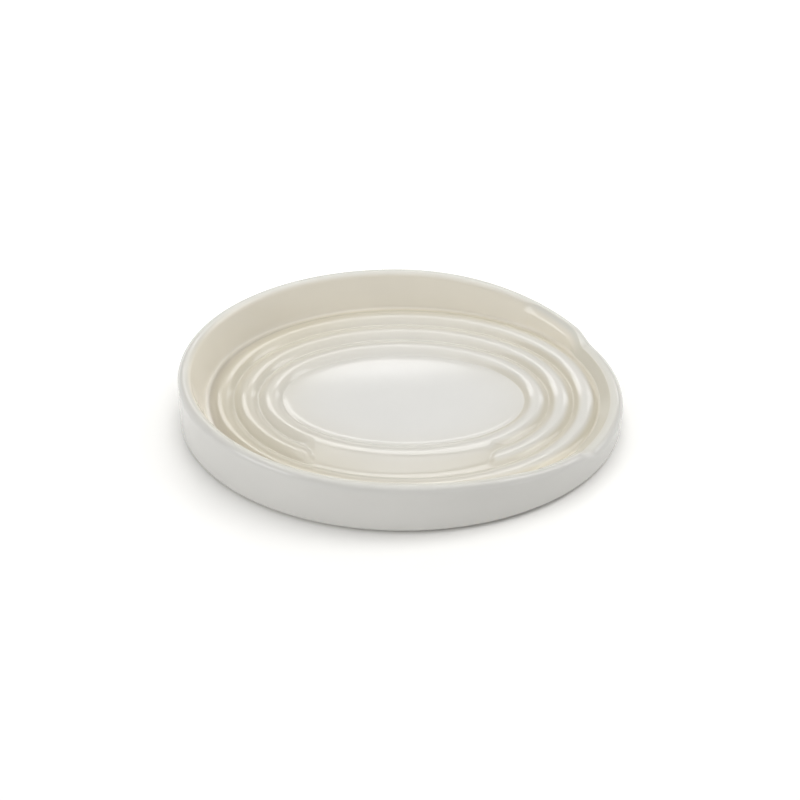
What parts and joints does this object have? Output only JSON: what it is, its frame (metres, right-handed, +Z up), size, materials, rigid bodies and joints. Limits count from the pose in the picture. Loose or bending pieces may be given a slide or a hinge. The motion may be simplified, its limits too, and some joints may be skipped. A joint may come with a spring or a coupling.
{
  "type": "spoon rest",
  "caption": "Oval glazed stoneware spoon rest: a shallow dish with raised rings in its floor and a low lip at one end for the spoon's handle.",
  "frame": {"origin": "middle of the dish's length and width, on the plane that the foot ring stands on", "axes": "+X along the length towards the low lip for the spoon's handle, +Y away from the bare band in the middle ring, +Z up out of the dish"},
  "size_m": [0.16, 0.127, 0.0221],
  "materials": {
    "bare_stoneware": "fired, unglazed",
    "cream_glaze": "glossy",
    "white_glaze": "glossy"
  },
  "bodies": {
    "root": {"stoneware_body": "bare_stoneware", "inside_glaze": "cream_glaze", "outside_glaze": "white_glaze", "underside_glaze": "white_glaze"}
  },
  "joints": []
}
